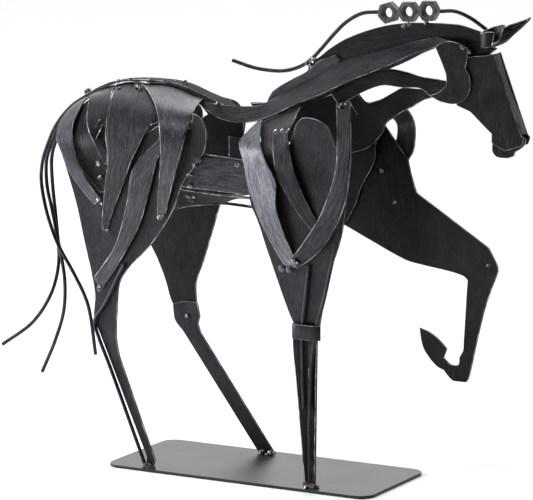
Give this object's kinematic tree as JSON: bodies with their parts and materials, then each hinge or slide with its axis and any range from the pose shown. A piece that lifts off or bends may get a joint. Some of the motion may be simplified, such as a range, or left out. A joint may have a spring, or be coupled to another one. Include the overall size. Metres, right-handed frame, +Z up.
{
  "type": "horse statue",
  "caption": "Striding horse statue of welded black steel straps, plates and rods, with hexagon nuts in its mane, on a thin rectangular base plate.",
  "frame": {"origin": "centre of the base plate's underside, which rests on the table", "axes": "+X forward along the base plate towards the horse's head, -Y towards the horse's right side, +Z up"},
  "size_m": [0.2482, 0.057, 0.2038],
  "materials": {
    "base_black": "satin black",
    "plate_black": "satin black",
    "strap_black": "satin black, brushed along the straps",
    "rod_black": "satin black",
    "nut_black": "satin black, worn at the edges"
  },
  "bodies": {
    "root": {"base_plate": "base_black", "belly_strap": "strap_black", "crest_plate": "strap_black", "jaw_strip": "strap_black", "left_belly_chine": "strap_black", "left_belly_strip": "strap_black", "left_cannon_plate": "plate_black", "left_cheek_plate": "strap_black", "left_chest_strap": "strap_black", "left_ear": "strap_black", "left_face_plate": "strap_black", "left_foreleg_plate": "plate_black", "left_haunch_strap_1": "strap_black", "left_haunch_strap_2": "strap_black", "left_haunch_strap_3": "strap_black", "left_haunch_strap_4": "strap_black", "left_neck_band": "strap_black", "left_shoulder_plate": "plate_black", "left_shoulder_strap_1": "strap_black", "left_shoulder_strap_2": "strap_black", "left_tendon_rod": "rod_black", "left_thigh_plate": "plate_black", "left_throat_strap": "strap_black", "mane_nut_1": "nut_black", "mane_nut_2": "nut_black", "mane_nut_3": "nut_black", "mane_rod_front": "rod_black", "mane_rod_rear": "rod_black", "muzzle_plate": "strap_black", "nose_strip": "strap_black", "right_belly_chine": "strap_black", "right_belly_strip": "strap_black", "right_cannon_plate": "plate_black", "right_cheek_plate": "strap_black", "right_ear": "strap_black", "right_face_plate": "strap_black", "right_foreleg_rod_1": "rod_black", "right_foreleg_rod_2": "rod_black", "right_haunch_strap_1": "strap_black", "right_haunch_strap_2": "strap_black", "right_haunch_strap_3": "strap_black", "right_haunch_strap_4": "strap_black", "right_haunch_strap_5": "strap_black", "right_haunch_strap_6": "strap_black", "right_knee_cuff": "strap_black", "right_neck_band": "strap_black", "right_shoulder_plate": "plate_black", "right_shoulder_strap_1": "strap_black", "right_shoulder_strap_2": "strap_black", "right_shoulder_strap_3": "strap_black", "right_shoulder_strap_4": "strap_black", "right_tendon_rod": "rod_black", "right_thigh_plate": "plate_black", "right_throat_strap": "strap_black", "spine_strip": "strap_black", "tail_rod_1": "rod_black", "tail_rod_2": "rod_black", "tail_rod_3": "rod_black", "withers_strap": "strap_black"}
  },
  "joints": []
}
